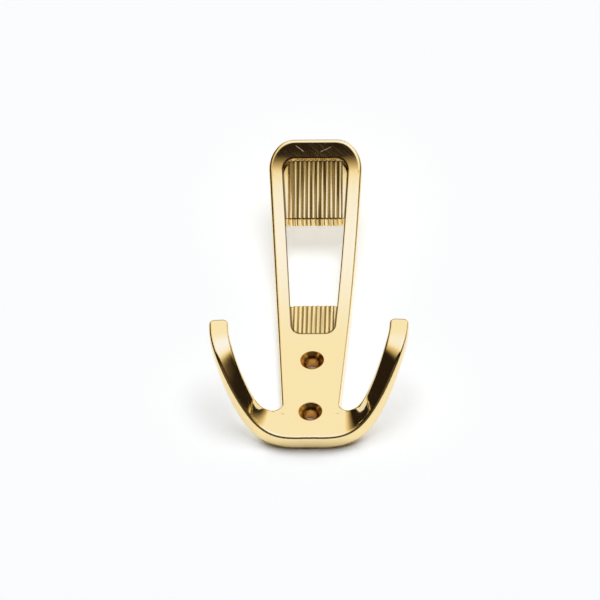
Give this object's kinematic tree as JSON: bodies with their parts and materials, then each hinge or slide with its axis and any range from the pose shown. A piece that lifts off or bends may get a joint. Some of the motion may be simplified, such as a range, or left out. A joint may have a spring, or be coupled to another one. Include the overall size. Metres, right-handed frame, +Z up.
{
  "type": "wall hook",
  "caption": "Cast wall hook: a tapered stem with a ribbed loop leaning forward from the wall, countersunk screw holes below it, and a curved arm sweeping out, forward and up on each side.",
  "frame": {"origin": "on the wall plane, midway between the two screw holes", "axes": "+Z up along the stem, -Y out from the wall towards the user, +X to the right as seen from the front"},
  "size_m": [0.071, 0.0323, 0.1195],
  "materials": {
    "gold_plating": "polished bright gold plating over a zinc casting"
  },
  "bodies": {
    "root": {"hook_body": "gold_plating"}
  },
  "joints": []
}
